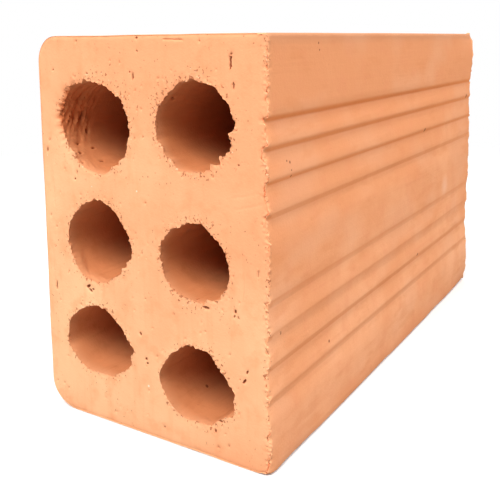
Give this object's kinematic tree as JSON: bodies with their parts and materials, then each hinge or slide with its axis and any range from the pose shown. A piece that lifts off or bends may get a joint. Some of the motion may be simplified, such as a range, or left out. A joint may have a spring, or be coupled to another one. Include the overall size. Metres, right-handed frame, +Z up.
{
  "type": "hollow clay brick",
  "caption": "Hollow fired clay brick with round cores running end to end and two bands of scored grooves along one long side.",
  "frame": {"origin": "centre of the lower bed, the narrow long face that the brick stands on", "axes": "+Z up, +Y along the brick and its cores, +X across the brick toward the scored side"},
  "size_m": [0.103, 0.24, 0.15],
  "materials": {
    "fired_clay": "matte, unglazed, slightly sandy"
  },
  "bodies": {
    "root": {"hollow_brick": "fired_clay"}
  },
  "joints": []
}
